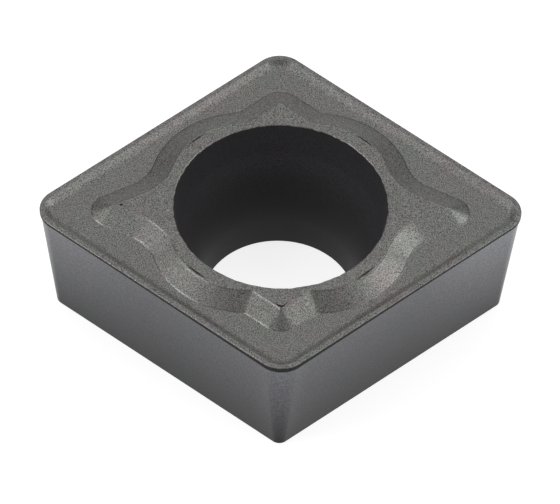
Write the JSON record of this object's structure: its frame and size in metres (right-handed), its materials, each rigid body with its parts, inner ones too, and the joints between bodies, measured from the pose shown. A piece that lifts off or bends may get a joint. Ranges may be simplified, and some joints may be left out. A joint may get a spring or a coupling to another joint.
{
  "type": "carbide turning insert",
  "caption": "Rhombic sintered-carbide turning insert with relieved flanks, a pressed chipbreaker island and a countersunk bore for its clamping screw.",
  "frame": {"origin": "centre of the bore on the seat face", "axes": "+X through one of the two 80 degree noses, +Y through a 100 degree corner, +Z from the seat face to the cutting edges"},
  "size_m": [0.014, 0.012, 0.0041],
  "materials": {
    "coated_carbide": "fine sintered grain under a thin dark grey-violet hard coating, satin"
  },
  "bodies": {
    "root": {"insert": "coated_carbide"}
  },
  "joints": []
}
